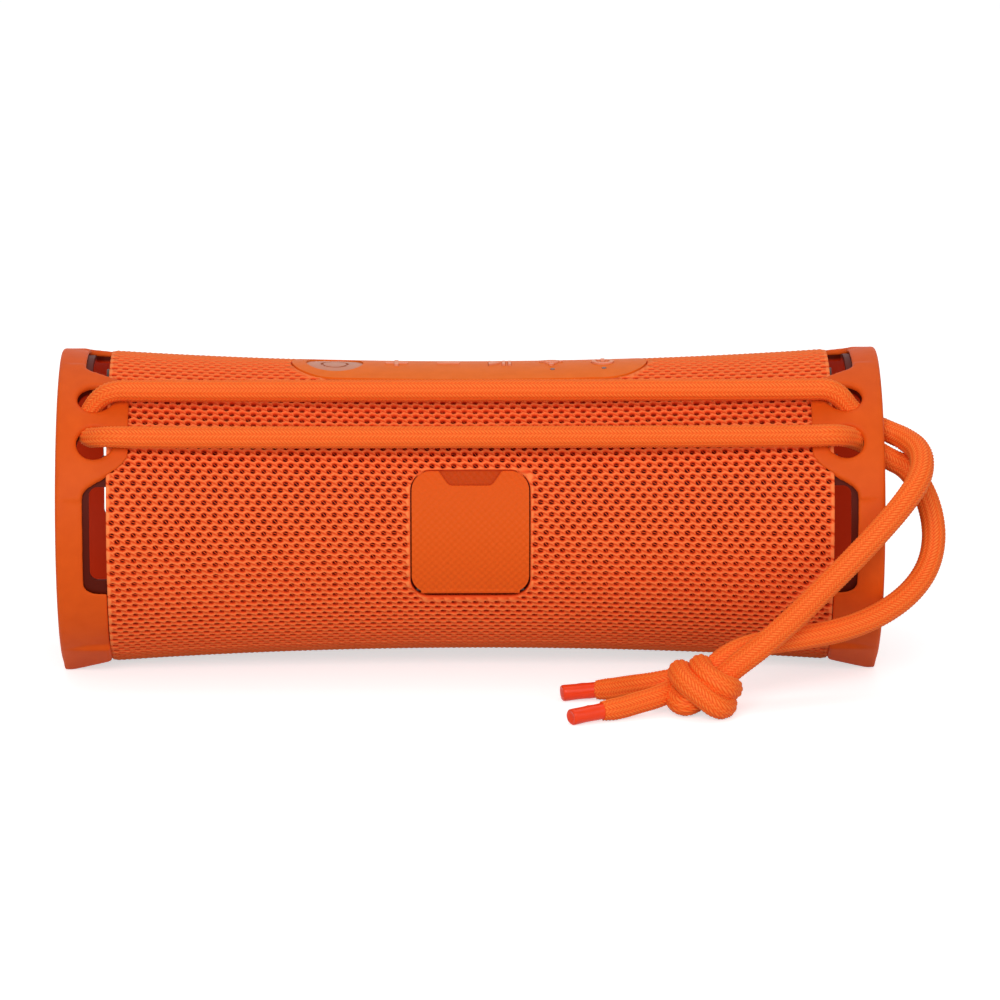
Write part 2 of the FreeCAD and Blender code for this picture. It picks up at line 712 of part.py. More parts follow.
def make_woofer_basket():
    """The driver's frame: a flange behind the baffle, four legs and a back ring."""
    flange = racetrack(80, 39, BAFFLE_Y0 - 1.6, BAFFLE_Y0, WOOFER_X)
    wall = racetrack(66, 25, 10.5, BAFFLE_Y0 - 1.0, WOOFER_X)
    shape = flange.fuse(wall)
    shape = shape.cut(racetrack(63, 22, 12, 30, WOOFER_X))
    shape = shape.cut(y_cylinder(8.8, 5, 15, WOOFER_X, 0))
    for x in (-19, 0, 19):
        shape = shape.cut(box(WOOFER_X + x - 6.5, WOOFER_X + x + 6.5, 13, 18.6, -20, 20))
    for x, z in woofer_screw_places():
        shape = shape.cut(y_cylinder(1.1, 15, 30, x, z))
    return shape


def make_woofer_magnet():
    """Magnet, top plate and pole in one, with the gap for the voice coil."""
    shape = y_cylinder(11.8, 2.6, 10.5, WOOFER_X, 0)
    gap = y_cylinder(8.0, 4.6, 11, WOOFER_X, 0).cut(y_cylinder(6.2, 4, 12, WOOFER_X, 0))
    return shape.cut(gap)


def make_woofer_surround():
    outer = racetrack(74, 33, BAFFLE_Y0, BAFFLE_Y0 + 1.6, WOOFER_X)
    flat = outer.cut(racetrack(60.4, 19.4, 20, 30, WOOFER_X))
    channel = racetrack(71, 30, BAFFLE_Y0 - 0.5, BAFFLE_Y0 + 0.9, WOOFER_X)
    channel = channel.cut(racetrack(63.4, 22.4, 20, 30, WOOFER_X))
    return flat.cut(channel)


def make_woofer_cone():
    """The flat racetrack cone and its voice coil former, which moves in the magnet's gap."""
    plate = racetrack(59.6, 18.6, BAFFLE_Y0 - 1.2, BAFFLE_Y0 + 0.6, WOOFER_X)
    dish = racetrack(52, 12, BAFFLE_Y0 - 0.2, BAFFLE_Y0 + 2, WOOFER_X)
    coil = y_cylinder(7.4, 7.2, BAFFLE_Y0 - 1.0, WOOFER_X, 0)
    coil = coil.cut(y_cylinder(6.8, 5, BAFFLE_Y0 - 1.2, WOOFER_X, 0))
    return plate.cut(dish).fuse(coil)


def make_woofer_screws():
    screws = []
    for x, z in woofer_screw_places():
        head = y_cylinder(1.9, BAFFLE_Y0 - 2.8, BAFFLE_Y0 - 1.6, x, z)
        shank = y_cylinder(0.8, BAFFLE_Y0 - 1.6, BAFFLE_Y1 - 0.4, x, z)
        screws.append(head.fuse(shank))
    return Part.makeCompound(screws)


def make_tweeter_frame():
    shape = y_cylinder(14.5, BAFFLE_Y0 - 2.4, BAFFLE_Y0, TWEETER_X, 0)
    shape = shape.fuse(y_cylinder(10.2, BAFFLE_Y0, BAFFLE_Y1 - 0.6, TWEETER_X, 0))
    return shape.cut(y_cylinder(8.6, 10, 30, TWEETER_X, 0))


def make_tweeter_dome():
    """A thin dome with the short former of its voice coil."""
    sphere = 10.4
    centre = vec(TWEETER_X, BAFFLE_Y0 - 7.4, AXIS_Z)
    dome = Part.makeSphere(sphere, centre).cut(Part.makeSphere(sphere - 0.5, centre))
    dome = dome.common(y_cylinder(8.3, BAFFLE_Y0 - 1.2, 30, TWEETER_X, 0))
    coil = y_cylinder(7.0, 16.6, BAFFLE_Y0 + 0.2, TWEETER_X, 0).cut(y_cylinder(6.5, 10, 30, TWEETER_X, 0))
    return dome.fuse(coil)


def make_tweeter_magnet():
    shape = y_cylinder(11.5, 9.5, BAFFLE_Y0 - 2.4, TWEETER_X, 0)
    gap = y_cylinder(7.5, 15.0, 25, TWEETER_X, 0).cut(y_cylinder(6.0, 10, 18.4, TWEETER_X, 0))
    return shape.cut(gap)


# ---------------------------------------------------------------- battery and boards

def make_cells():
    """Two round cells end to end, each with its raised contact."""
    cells = []
    for start in (-CELL_LENGTH - 1.2, 1.2):
        cell = x_cylinder(CELL_RADIUS, start, start + CELL_LENGTH - 1.0, CELL_Y, CELL_Z)
        button = x_cylinder(2.8, start + CELL_LENGTH - 1.0, start + CELL_LENGTH, CELL_Y, CELL_Z)
        cells.append(cell.fuse(button))
    return Part.makeCompound(cells)


def make_battery_tray():
    """A half-round cradle with end walls and four feet that reach the housing."""
    half = CELL_LENGTH + 3.2
    shape = x_cylinder(CELL_RADIUS + 1.5, -half, half, CELL_Y, CELL_Z)
    shape = shape.cut(x_cylinder(CELL_RADIUS + 0.1, -half + 1.4, half - 1.4, CELL_Y, CELL_Z))
    shape = shape.common(box(-80, 80, -40, 40, -40, -21.5))
    for x in (-60, -20, 20, 60):
        leg = box(x - 2, x + 2, CELL_Y - 3, CELL_Y + 3, -34, -29.8)
        shape = shape.fuse(leg.common(waisted(80, SHELL_INSIDE + 0.05)))
    return shape


def board_screw_places():
    return [(x, z) for x in (-52, 52) for z in (-5, 19)]


def make_main_board():
    shape = box(-58, 58, BOARD_Y0, BOARD_Y1, -8.2, 22)
    shape = fillet_along(shape, vec(0, 1, 0), 2)
    for x, z in board_screw_places():
        shape = shape.cut(y_cylinder(1.4, -25, -10, x, z))
    return shape


def make_board_components():
    """Chips, coils, capacitors and connectors soldered to the main board's inner face."""
    shapes = []
    for x, z, wide, tall, high in (
        (-30, 8, 9, 9, 1.2), (-12, 12, 7, 7, 1.0), (10, 6, 12, 16, 2.2), (32, 2, 6, 6, 3.0),
        (32, 12, 6, 6, 3.0), (-42, 16, 8, 4, 4.0), (42, 16, 8, 4, 4.0),
    ):
        shapes.append(box(x - wide / 2, x + wide / 2, BOARD_Y1, BOARD_Y1 + high, z - tall / 2, z + tall / 2))
    for x in (-22, -16, 22, 44):
        shapes.append(y_cylinder(2.5, BOARD_Y1, BOARD_Y1 + 5.4, x, -2))
    return Part.makeCompound(shapes)


def board_stands():
    """Posts of the rear housing that carry the main board."""
    shapes = []
    for x, z in board_screw_places():
        post = y_cylinder(2.6, -40, BOARD_Y0, x, z).common(waisted(80, SHELL_OUTSIDE + 0.6))
        shapes.append(post.cut(y_cylinder(1.0, -26, -10, x, z)))
    return shapes


def make_board_screws():
    screws = []
    for x, z in board_screw_places():
        head = y_cylinder(2.1, BOARD_Y1, BOARD_Y1 + 1.3, x, z)
        shank = y_cylinder(0.95, BOARD_Y0 - 6, BOARD_Y1, x, z)
        screws.append(head.fuse(shank))
    return Part.makeCompound(screws)


# ---------------------------------------------------------------- carry cord

def on_body(x, angle, radius):
    return local_point(x, angle, radius, 0)


UPPER, LOWER = CORD_ANGLES

SPAN_ROUTE = [
    vec(104.5, -22.95, 63.0),
    vec(95.8, -19.14, 66.4),
    on_body(93.2, UPPER, CORD_RUN_RADIUS),
    on_body(-93.4, UPPER, CORD_RUN_RADIUS),
    on_body(-95.4, 56.5, 30.0),
    on_body(-95.4, 34.3, 30.0),
    on_body(-93.4, LOWER, CORD_RUN_RADIUS),
    on_body(93.2, LOWER, CORD_RUN_RADIUS),
    vec(96.2, -26.5, 58.5),
    vec(104.5, -26.4, 56.6),
]

UPPER_LOOP_ROUTE = [
    vec(104.5, -22.95, 63.0),
    vec(108.8, -25.2, 61.5),
    vec(112.4, -31.4, 59.4),
    vec(111.9, -38.2, 54.9),
    vec(107.2, -43.4, 49.2),
    vec(100.6, -46.9, 42.4),
    vec(93.4, -49.3, 35.3),
    vec(86.6, -50.9, 28.8),
    vec(79.5, -53.0, 22.1),
    vec(71.6, -56.2, 15.9),
    vec(64.0, -59.5, 9.9),
]

LOWER_LOOP_ROUTE = [
    vec(104.5, -26.4, 56.6),
    vec(108.6, -25.9, 54.9),
    vec(112.7, -26.6, 49.9),
    vec(115.3, -28.0, 43.4),
    vec(115.9, -30.4, 36.4),
    vec(113.9, -33.6, 29.8),
    vec(109.0, -37.4, 24.4),
    vec(102.0, -41.2, 20.4),
    vec(93.5, -44.2, 17.5),
    vec(84.5, -46.7, 16.2),
    vec(75.0, -48.5, 15.4),
    vec(67.0, -51.2, 14.4),
    vec(61.0, -53.9, 12.0),
]

UPPER_TAIL_ROUTE = [
    vec(50.5, -56.0, 8.2),
    vec(44.6, -54.4, 6.2),
    vec(38.8, -50.4, 4.5),
    vec(34.8, -47.6, 3.1),
    vec(31.2, -46.6, 2.68),
]

LOWER_TAIL_ROUTE = [
    vec(51.2, -60.8, 4.9),
    vec(46.0, -61.6, 4.6),
    vec(41.0, -63.6, 3.7),
    vec(36.0, -66.2, 2.8),
    vec(32.0, -67.8, 2.68),
]

# where each tip ends; it starts at the last point of its tail
UPPER_TIP_END = vec(22.5, -47.4, 2.05)
LOWER_TIP_END = vec(24.2, -71.4, 2.05)


def turn_and_radius(before, corner, after):
    """The turn at a corner of a route and the radius of the largest arc there."""
    inward = corner.sub(before)
    outward = after.sub(corner)
    turn = inward.getAngle(outward)
    reach = 0.45 * min(inward.Length, outward.Length)
    return turn, reach, reach / math.tan(turn / 2)


def rounded_path(name, route):
    """Straight runs joined by tangent arcs, each as large as its two runs allow."""
    edges = []
    start = route[0]
    radii = []
    for before, corner, after in zip(route, route[1:], route[2:]):
        turn, reach, radius = turn_and_radius(before, corner, after)
        back = before.sub(corner).normalize()
        ahead = after.sub(corner).normalize()
        first = corner.add(back * reach)
        last = corner.add(ahead * reach)
        inside = back.add(ahead).normalize()
        middle = corner.add(inside * (radius / math.cos(turn / 2) - radius))
        edges.append(Part.LineSegment(start, first).toShape())
        edges.append(Part.Arc(first, middle, last).toShape())
        start = last
        radii.append(f"{radius:.1f} ({math.degrees(turn):.0f} deg)")
    edges.append(Part.LineSegment(start, route[-1]).toShape())
    print(f"{name} radii: {', '.join(radii)}")
    return Part.Wire(edges)


def make_cord(name, route, radius):
    """A round tube along a route; its volume is compared with section times length."""
    path = rounded_path(name, route)
    section = Part.Wire(Part.makeCircle(radius, route[0], route[1].sub(route[0])))
    tube = path.makePipeShell([section], True, False)
    expected = math.pi * radius ** 2 * path.Length
    print(f"{name} length {path.Length:.1f}, volume {tube.Volume:.1f} of {expected:.1f}")
    save(name, tube)
    return path.Length


def make_knot():
    """The outer shape of the doubled overhand knot."""
    shape = Part.makeBox(*KNOT_SIZE, vec(*KNOT_MIN))
    return shape.makeFillet(KNOT_ROUND, shape.Edges)


def make_tips():
    """The two heat-sealed ends, each a little thinner than the cord."""
    tips = []
    for route, end in ((UPPER_TAIL_ROUTE, UPPER_TIP_END), (LOWER_TAIL_ROUTE, LOWER_TIP_END)):
        along = end.sub(route[-1])
        tip = Part.makeCylinder(TIP_RADIUS, along.Length, route[-1], along)
        tips.append(tip.makeFillet(0.6, [tip.Edges[0]]))
    return Part.makeCompound(tips)


# ---------------------------------------------------------------- all sub-parts

save("fabric_sleeve", make_sleeve())
save_pair("bumper", make_bumper())
save_pair("bumper_frame", make_bumper_frame())
rear = make_rear_housing()
rear = rear.multiFuse(make_screw_bosses(-8.0, -0.05) + board_stands())
save("rear_housing", rear)
grille = make_front_grille()
grille = grille.multiFuse(make_screw_bosses(0.05, 8.0))
save("front_grille", grille)
save_pair("end_plate", make_end_plate())
save("end_screws", make_end_screws())
save("housing_screws", make_housing_screws())
save_pair("radiator_frame", make_radiator_frame())
save_pair("radiator_surround", make_radiator_surround())
save_pair("radiator_diaphragm", make_diaphragm())

save("control_panel", make_panel())
save("bass_key", make_bass_key())
for key_name, key_x in KEY_PLACES.items():
    save(key_name, make_key(key_name, key_x))
save("key_board", make_key_board())
save("key_switches", make_key_switches())
save("status_lights", make_status_lights())

save("port_cover", make_port_cover())
save("port_hinge_pin", make_hinge_pin())
save("port_bay", make_port_bay())
save("usb_socket", make_usb_socket())
save("usb_tongue", make_usb_tongue())

save("front_baffle", make_baffle())
save("baffle_gasket", make_baffle_gasket())
save("woofer_basket", make_woofer_basket())
save("woofer_magnet", make_woofer_magnet())
save("woofer_surround", make_woofer_surround())
save("woofer_cone", make_woofer_cone())
save("woofer_screws", make_woofer_screws())
save("tweeter_frame", make_tweeter_frame())
save("tweeter_dome", make_tweeter_dome())
save("tweeter_magnet", make_tweeter_magnet())

save("battery_cells", make_cells())
save("battery_tray", make_battery_tray())
save("main_board", make_main_board())
save("board_components", make_board_components())
save("board_screws", make_board_screws())

total = 0.0
for cord_name, cord_route, cord_radius in (
    ("strap_span", SPAN_ROUTE, SPAN_CORD_RADIUS),
    ("strap_loop_upper", UPPER_LOOP_ROUTE, LOOP_CORD_RADIUS),
    ("strap_loop_lower", LOWER_LOOP_ROUTE, LOOP_CORD_RADIUS),
    ("strap_tail_upper", UPPER_TAIL_ROUTE, TAIL_CORD_RADIUS),
    ("strap_tail_lower", LOWER_TAIL_ROUTE, TAIL_CORD_RADIUS),
):
    total += make_cord(cord_name, cord_route, cord_radius)
save("strap_knot", make_knot())
save("strap_tips", make_tips())
print(f"cord outside the knot: {total:.0f} mm")
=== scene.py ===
import json
import math

import bpy
import numpy as np
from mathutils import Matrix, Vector


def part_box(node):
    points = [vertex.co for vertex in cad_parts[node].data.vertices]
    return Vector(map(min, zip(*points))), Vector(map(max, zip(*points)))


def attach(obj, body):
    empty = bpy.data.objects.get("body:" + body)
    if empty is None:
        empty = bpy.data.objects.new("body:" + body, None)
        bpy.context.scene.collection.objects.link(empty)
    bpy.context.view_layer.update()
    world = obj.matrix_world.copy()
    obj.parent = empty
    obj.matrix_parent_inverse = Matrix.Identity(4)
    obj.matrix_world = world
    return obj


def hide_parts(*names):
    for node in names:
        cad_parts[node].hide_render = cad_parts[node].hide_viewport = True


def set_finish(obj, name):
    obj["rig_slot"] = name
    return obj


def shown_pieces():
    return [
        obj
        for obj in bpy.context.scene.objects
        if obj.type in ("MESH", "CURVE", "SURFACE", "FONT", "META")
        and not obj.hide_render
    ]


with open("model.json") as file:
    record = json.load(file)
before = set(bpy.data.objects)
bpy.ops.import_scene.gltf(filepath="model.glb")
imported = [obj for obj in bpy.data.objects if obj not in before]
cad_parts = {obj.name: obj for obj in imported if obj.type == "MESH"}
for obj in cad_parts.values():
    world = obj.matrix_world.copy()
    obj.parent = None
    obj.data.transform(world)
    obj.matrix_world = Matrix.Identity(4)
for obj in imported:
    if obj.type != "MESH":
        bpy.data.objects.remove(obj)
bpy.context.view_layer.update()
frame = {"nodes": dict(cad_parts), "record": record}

# Metres. +X runs along the body, -Y is the rear with the port cover, +Z is up.
MM = 0.001
SLEEVE_LOW, SLEEVE_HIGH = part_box("fabric_sleeve")
AXIS_Z = (SLEEVE_LOW.z + SLEEVE_HIGH.z) / 2
BODY_HALF = SLEEVE_HIGH.x
END_RADIUS = (SLEEVE_HIGH.z - SLEEVE_LOW.z) / 2
WAIST_RADIUS = END_RADIUS - 3.0 * MM
RNG = np.random.default_rng(7)


# ---------------------------------------------------------------- camera

def make_camera():
    """A long lens, nearly level with the speaker and square to its rear side."""
    data = bpy.data.cameras.new("camera")
    data.sensor_width = 36.0
    data.lens = 226.8
    data.clip_end = 20.0
    camera = bpy.data.objects.new("camera", data)
    bpy.context.scene.collection.objects.link(camera)
    bpy.context.scene.camera = camera
    distance, elevation = 1.6, math.radians(12.5)
    place = Vector((-10.0 * MM, -distance * math.cos(elevation), AXIS_Z + distance * math.sin(elevation)))
    aim = Vector((7.75 * MM, 0.0, AXIS_Z + 1.14 * MM))
    camera.location = place
    camera.rotation_mode = "QUATERNION"
    camera.rotation_quaternion = (aim - place).to_track_quat("-Z", "Y")


make_camera()


# ---------------------------------------------------------------- meshes

def new_object(name, vertices, faces, body="root", smooth=True, height=None):
    """A mesh object that rides on a body; height is a value per vertex that its material reads as a level of
    painted shade and highlight.
    """
    mesh = bpy.data.meshes.new(name)
    mesh.from_pydata(vertices.tolist(), [], faces)
    mesh.polygons.foreach_set("use_smooth", [smooth] * len(mesh.polygons))
    if height is not None:
        layer = mesh.attributes.new("height", "FLOAT", "POINT")
        layer.data.foreach_set("value", np.asarray(height, np.float32))
    mesh.update()
    ob = bpy.data.objects.new(name, mesh)
    bpy.context.scene.collection.objects.link(ob)
    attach(ob, body)
    return ob


# ---------------------------------------------------------------- cords

def around(x, radius, degrees):
    """A point beside the body, in millimetres: along it, out from its axis, and up from the rear."""
    angle = math.radians(degrees)
    return (x, -radius * math.cos(angle), AXIS_Z / MM + radius * math.sin(angle))


RUN = 43.1
SPAN_ROUTE = [
    (99.5, -22.9, 65.4), around(95.8, 36.0, 50.5),
    around(90.8, 43.5, 53.8), around(82.5, RUN, 53.6), around(-80.2, RUN, 53.6), around(-90.8, 43.5, 53.8),
    around(-95.8, 36.0, 50.5), around(-95.8, 36.0, 40.0),
    around(-90.8, 43.5, 35.6), around(-80.2, RUN, 35.3), around(82.5, RUN, 35.3), around(90.8, 43.5, 35.6),
    around(95.8, 36.0, 39.5), (99.5, -27.2, 60.2),
]
UPPER_LOOP = [
    (99.5, -22.9, 65.4), (104.5, -22.95, 63.0), (108.8, -25.2, 61.5), (112.4, -31.4, 59.4),
    (111.9, -38.2, 54.9), (107.2, -43.4, 49.2), (100.6, -46.9, 42.4), (93.4, -49.3, 35.3),
    (86.6, -50.9, 28.8),
    (79.5, -53.0, 22.1), (71.6, -56.2, 15.9),
]
# Each cord's way through the doubled overhand knot.
UPPER_TURNS = [
    (64.5, -57.5, 10.8), (60.0, -58.5, 7.0), (56.0, -61.5, 4.2), (52.3, -65.0, 3.1), (49.8, -60.5, 4.3),
    (49.7, -54.5, 6.8), (52.1, -54.0, 9.2), (51.0, -59.2, 10.5), (52.2, -65.0, 9.2), (56.5, -67.3, 6.2),
    (60.8, -67.8, 3.0), (63.0, -62.5, 3.0), (60.5, -57.0, 3.3), (54.5, -56.5, 4.6), (50.2, -57.5, 5.8),
]
LOWER_TAIL = [(46.0, -61.6, 4.6), (41.0, -63.6, 3.7), (36.0, -66.2, 2.8), (32.0, -67.8, 2.68)]
LOWER_TIP_END = (24.2, -71.4, 2.05)
LOWER_LOOP = [
    (99.5, -27.2, 60.2), (104.5, -26.4, 56.6), (108.6, -25.9, 54.9), (112.7, -26.6, 49.9),
    (115.3, -28.0, 43.4), (115.9, -30.4, 36.4), (113.9, -33.6, 29.8), (109.0, -37.4, 24.4),
    (102.0, -41.2, 20.4),
    (93.5, -44.2, 17.5), (84.5, -46.7, 16.2), (75.0, -48.5, 15.4), (67.0, -51.2, 14.4),
]
LOWER_TURNS = [
    (61.0, -54.0, 11.5), (58.0, -54.5, 7.5), (55.5, -57.5, 4.0), (56.0, -61.0, 3.2), (54.5, -55.5, 4.0),
    (56.0, -51.5, 7.5), (57.0, -53.8, 10.6), (56.0, -59.0, 11.6), (57.5, -64.3, 10.4), (61.5, -65.6, 8.2),
    (63.6, -63.3, 7.0), (64.0, -59.2, 6.2), (61.8, -55.2, 6.2), (56.0, -54.3, 7.0), (50.5, -55.3, 7.6),
]
UPPER_TAIL = [(44.6, -54.4, 6.2), (38.8, -50.4, 4.5), (34.8, -47.6, 3.1), (31.2, -46.6, 2.68)]
UPPER_TIP_END = (22.5, -47.4, 2.05)

SIDES = 48
COLUMNS = 12
STITCH = 0.93 * MM
RING_STEP = STITCH / 4
BRAID_RELIEF = 0.32 * MM
BRAID_CROWN = 0.12 * MM


def cord_line(name, route, step):
    """Points evenly along the NURBS spline that has the route as its control points."""
    curve = bpy.data.curves.new(name + "_route", "CURVE")
    curve.dimensions = "3D"
    curve.resolution_u = 40
    spline = curve.splines.new("NURBS")
    spline.points.add(len(route) - 1)
    for point, place in zip(spline.points, route):
        point.co = (place[0] * MM, place[1] * MM, place[2] * MM, 1.0)
    spline.order_u = 3
    spline.use_endpoint_u = True
    ob = bpy.data.objects.new(name + "_route", curve)
    mesh = bpy.data.meshes.new_from_object(ob)
    line = np.array([v.co for v in mesh.vertices], float).reshape(-1, 3)
    bpy.data.objects.remove(ob)
    bpy.data.meshes.remove(mesh)
    walked = np.concatenate([[0.0], np.cumsum(np.linalg.norm(np.diff(line, axis=0), axis=1))])
    places = np.linspace(0.0, walked[-1], max(2, int(round(walked[-1] / step)) + 1))
    return np.stack([np.interp(places, walked, line[:, k]) for k in range(3)], axis=1), places


def turned_frames(line):
    """Two directions across the line at each point, carried along it without twisting."""
    ahead = np.gradient(line, axis=0)
    ahead /= np.linalg.norm(ahead, axis=1)[:, None]
    side = np.cross(ahead[0], (0.0, 0.0, 1.0))
    side /= np.linalg.norm(side)
    sides = np.empty_like(line)
    for i in range(len(line)):
        side = side - ahead[i] * np.dot(side, ahead[i])
        side /= np.linalg.norm(side)
        sides[i] = side
    return sides, np.cross(ahead, sides)


def braided_cord(name, route, radii, columns=COLUMNS):
    """A braided tube along the route: columns of stitches that lean left and right in turn.

    radii is a list of (share of the length, radius in millimetres)."""
    line, places = cord_line(name, route, RING_STEP)
    across, up = turned_frames(line)
    turn = np.arange(SIDES) / SIDES
    column = turn * columns
    lean = np.where(np.floor(column).astype(int) % 2 == 0, 1.0, -1.0)
    inside = column - np.floor(column) - 0.5
    share = places / places[-1]
    radius = np.interp(share, [r[0] for r in radii], [r[1] * MM for r in radii])
    wide = 2 * math.pi * radius / columns
    phase = places[:, None] / STITCH + lean * inside * wide[:, None] / STITCH
    ridge = 0.5 + 0.5 * np.cos(2 * math.pi * phase)
    middle = 1.0 - (2 * inside) ** 2
    height = ridge * (0.5 + 0.5 * middle)
    out = radius[:, None] + BRAID_RELIEF * (height - 0.5) + BRAID_CROWN * (middle - 0.6)
    angle = 2 * math.pi * turn
    points = (line[:, None, :] + out[..., None] * (
        np.cos(angle)[None, :, None] * across[:, None, :] + np.sin(angle)[None, :, None] * up[:, None, :]))
    rings = len(line)
    start = (np.arange(rings - 1) * SIDES)[:, None]
    j = np.arange(SIDES)[None, :]
    after = (j + 1) % SIDES
    ahead_row = start + SIDES
    quads = np.stack([start + j, start + after, ahead_row + after, ahead_row + j], -1)
    faces = quads.reshape(-1, 4).tolist()
    faces.append(list(range(SIDES))[::-1])
    faces.append([(rings - 1) * SIDES + k for k in range(SIDES)])
    # The stitch relief also sets the colour: painted highlight on each stitch, painted shade in the valleys.
    ob = new_object(name, points.reshape(-1, 3), faces, height=(0.15 + 0.85 * height).ravel())
    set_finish(ob, "cord_fabric")
    print(name, "length", round(float(places[-1]), 4), "faces", len(faces))
    return ob, line[:-4:6].tolist() + [line[-1].tolist()], float(places[-1])


def cord_tip(name, start, end):
    """A heat-sealed tip: a short tube a little thinner than the cord, with a slanting end."""
    a, b = Vector(start) * MM, Vector(end) * MM
    ahead = (b - a).normalized()
    side = ahead.cross(Vector((0, 0, 1))).normalized()
    up = side.cross(ahead)
    length = (b - a).length
    profile = [
        (-1.6, 1.5), (-1.5, 2.05), (-1.1, 2.12), (-0.4, 2.04),
        (0.5, 2.0), (2.0, 1.98), (3.5, 2.01), (5.0, 1.97),
        (length / MM - 0.9, 2.02), (length / MM - 0.25, 2.0), (length / MM, 1.75), (length / MM - 0.15, 1.2),
        (length / MM - 0.5, 0.5),
    ]
    count = 40
    vertices, faces = [], []
    for along, radius in profile:
        for k in range(count):
            angle = 2 * math.pi * k / count
            lump = 1.0 + 0.02 * math.sin(3 * angle + along) + 0.012 * math.sin(7 * angle - 2 * along)
            slant = 0.25 * math.cos(angle) if along > 5.5 else 0.0
            spread = side * math.cos(angle) + up * math.sin(angle)
            vertices.append(a + ahead * ((along + slant) * MM) + spread * (radius * lump * MM))
    for row in range(len(profile) - 1):
        for k in range(count):
            after = (k + 1) % count
            low, high = row * count, (row + 1) * count
            faces.append((low + k, low + after, high + after, high + k))
    faces.append(tuple(range(count))[::-1])
    faces.append(tuple((len(profile) - 1) * count + k for k in range(count)))
    ob = new_object(name, np.array([v[:] for v in vertices]), faces)
    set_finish(ob, "tip_plastic")
    return ob


# Each radius goes with a share of the cord's length. The slack loops are thicker than the taut
# span, which is pinched where it turns inside the left ring.
SPAN_RADII = [
    (0, 2.5), (0.04, 2.62), (0.455, 2.62), (0.48, 2.35),
    (0.52, 2.35), (0.545, 2.62), (0.96, 2.62), (1, 2.5),
]
UPPER_RADII = [
    (0, 2.5), (0.07, 2.9), (0.4, 2.92), (0.52, 2.84),
    (0.8, 2.84), (0.87, 2.68), (0.985, 2.62), (1, 2.3),
]
LOWER_RADII = [
    (0, 2.5), (0.07, 2.9), (0.42, 2.92), (0.54, 2.84),
    (0.8, 2.84), (0.87, 2.68), (0.985, 2.62), (1, 2.3),
]

span, span_path, span_length = braided_cord("strap_span_braid", SPAN_ROUTE, SPAN_RADII)
UPPER_ROUTE = UPPER_LOOP + UPPER_TURNS + LOWER_TAIL
LOWER_ROUTE = LOWER_LOOP + LOWER_TURNS + UPPER_TAIL
upper, upper_path, upper_length = braided_cord("strap_upper", UPPER_ROUTE, UPPER_RADII)
lower, lower_path, lower_length = braided_cord("strap_lower", LOWER_ROUTE, LOWER_RADII)
lower_tip = cord_tip("strap_tip_lower", LOWER_TAIL[-1], LOWER_TIP_END)
upper_tip = cord_tip("strap_tip_upper", UPPER_TAIL[-1], UPPER_TIP_END)

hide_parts("strap_span")
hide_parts("strap_loop_upper", "strap_tail_lower", "strap_knot")
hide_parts("strap_loop_lower", "strap_tail_upper")
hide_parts("strap_tips")


# ---------------------------------------------------------------- knitted sleeve

MESH_COLUMNS = 67
MESH_ROWS = 148
MESH_PITCH = 2 * BODY_HALF / MESH_COLUMNS
LINE_POINTS = 4 * MESH_COLUMNS + 1
PANEL_LOW, PANEL_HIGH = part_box("control_panel")
COVER_LOW, COVER_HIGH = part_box("port_cover")
PANEL_ROOM = 0.3 * MM
COVER_ROOM = 0.35 * MM
COVER_CORNER = 4.6 * MM
HINGE_ROOM = 0.8 * MM
HOLE_SIDES = 12
HOLE_HALF_WIDE = 0.72 * MM
HOLE_HALF_TALL = 0.60 * MM
WALL_DEPTH = 1.0 * MM
SIDE_DEPTH = 0.26 * MM
HEM_DEPTH = 1.15 * MM

# The kinds of vertex, and the level of painted light at each: 1 is painted highlight on a ridge, 0 is
# painted shade deep in a hole; side dimples get painted shade too.
LINE, SIDE, RIM, WALL, THREAD = range(5)
PAINTED_LIGHT_LEVELS = [1.0, 0.44, 0.52, 0.0, 0.60]
# Painted highlight on the raised side ends of each hole's rim, a middle level at the cut edges, painted
# shade down the hem.
SIDE_RIM_HIGHLIGHT = 0.85
CUT_EDGE_LIGHT_LEVEL = 0.7
HEM_SHADE = 0.3

# The strips of the sleeve, by their rows of holes. Row 0 is at the middle of the front.
STRIPS = (("sleeve_front_top", 99, MESH_ROWS), ("sleeve_front_low", 0, 50), ("sleeve_rear", 50, 99))


def body_radius(x):
    return WAIST_RADIUS + (END_RADIUS - WAIST_RADIUS) * (x / BODY_HALF) ** 2


def on_body(x, phi, height):
    radius = body_radius(x) + height
    return np.stack([x, -radius * np.cos(phi), AXIS_Z + radius * np.sin(phi)], axis=-1)


def panel_distance(p):
    """How far a point is outside the control strip's outline, seen from above."""
    radius = (PANEL_HIGH.y - PANEL_LOW.y) / 2 + PANEL_ROOM
    straight = (PANEL_HIGH.x - PANEL_LOW.x) / 2 + PANEL_ROOM - radius
    d = np.hypot(np.maximum(np.abs(p[:, 0]) - straight, 0), p[:, 1]) - radius
    return np.where(p[:, 2] > AXIS_Z, d, 1.0)


def cover_distance(p):
    """How far a point is outside the port cover's rounded outline, seen from behind."""
    corner = COVER_CORNER + COVER_ROOM
    half_x = (COVER_HIGH.x - COVER_LOW.x) / 2 + COVER_ROOM - corner
    high = COVER_HIGH.z + COVER_ROOM
    low = COVER_LOW.z - COVER_ROOM - HINGE_ROOM
    qx = np.abs(p[:, 0]) - half_x
    qz = np.abs(p[:, 2] - (high + low) / 2) - ((high - low) / 2 - corner)
    d = np.hypot(np.maximum(qx, 0), np.maximum(qz, 0)) + np.minimum(np.maximum(qx, qz), 0) - corner
    return np.where(p[:, 1] < 0, d, 1.0)


def cut_distance(x, phi):
    p = on_body(x, phi, np.zeros_like(x))
    return np.minimum(panel_distance(p), cover_distance(p))


